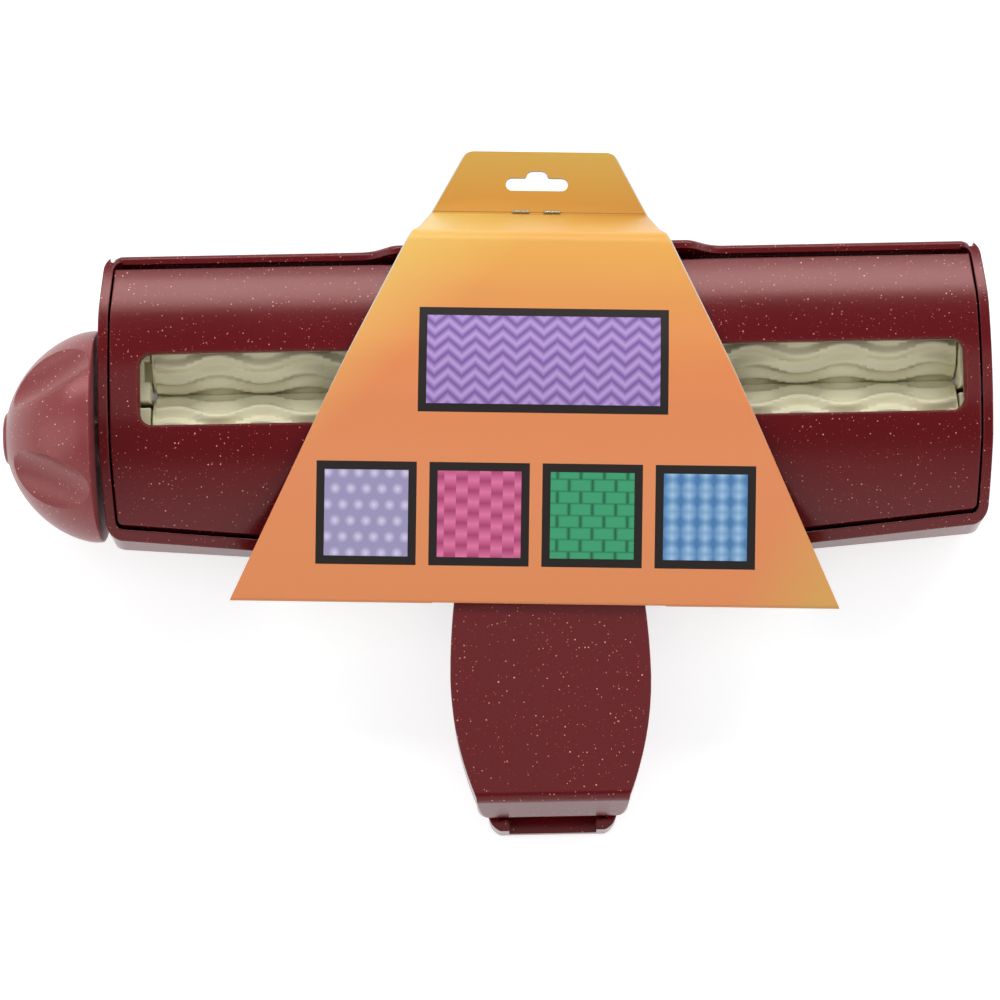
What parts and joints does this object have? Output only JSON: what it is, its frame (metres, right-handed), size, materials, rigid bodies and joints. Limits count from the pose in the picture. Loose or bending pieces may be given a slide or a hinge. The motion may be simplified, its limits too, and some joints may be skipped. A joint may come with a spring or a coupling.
{
  "type": "hand paper crimper",
  "caption": "Hand paper crimper: a wide head with wave-toothed rollers behind a window, a scalloped turning knob, a squeeze handle and a folded hang card.",
  "frame": {"origin": "on the resting plane under the hang card's rear ply, midway along the width of the head, near its lower rim", "axes": "+X along the rollers to the end opposite the knob, +Y from the handle to the head, +Z out of the front with the paper window"},
  "size_m": [0.2051, 0.1485, 0.045],
  "materials": {
    "housing": "dark maroon gloss moulding",
    "knob": "pale reddish brown with light flecks",
    "ivory": "satin ivory moulding",
    "steel": "plain steel",
    "stop": "soft black rubber",
    "card": "printed card, orange and yellow"
  },
  "bodies": {
    "frame": {"rear_housing": "housing", "top_cover": "housing", "top_cover_screws": "steel", "hinge_pins": "steel", "lower_bearing_left": "ivory", "lower_bearing_right": "ivory", "return_spring": "steel", "travel_stop": "stop", "hang_card": "card", "card_staples": "steel"},
    "lever": {"front_lever": "housing", "hinge_bushes": "ivory", "upper_bearing_left": "ivory", "upper_bearing_right": "ivory"},
    "drive": {"drive_roller": "ivory", "drive_shaft": "steel", "drive_roller_washers": "steel", "knob": "knob", "knob_base_plate": "knob", "knob_washer": "steel", "knob_screw": "steel", "knob_cap": "knob"},
    "idler": {"idler_roller": "ivory", "idler_shaft": "steel", "idler_roller_washers": "steel"}
  },
  "joints": [
    {"name": "lever_squeeze", "type": "hinge", "parent": "frame", "child": "lever", "pos_m": [0, 0.0536, 0.0075], "axis": [1, 0, 0], "range_deg": [0, 1.6], "stiffness_Nm_per_rad": 6, "springref_deg": -4.58, "deforming": ["return_spring"]},
    {"name": "knob_turn", "type": "hinge", "parent": "frame", "child": "drive", "pos_m": [0, 0.0246, 0.0228], "axis": [1, 0, 0], "continuous": true},
    {"name": "idler_turn", "type": "hinge", "parent": "lever", "child": "idler", "pos_m": [0, 0.0408, 0.02566], "axis": [1, 0, 0], "continuous": true}
  ],
  "couplings": [
    {"joint": "idler_turn", "follows": "knob_turn", "ratio": -1}
  ]
}
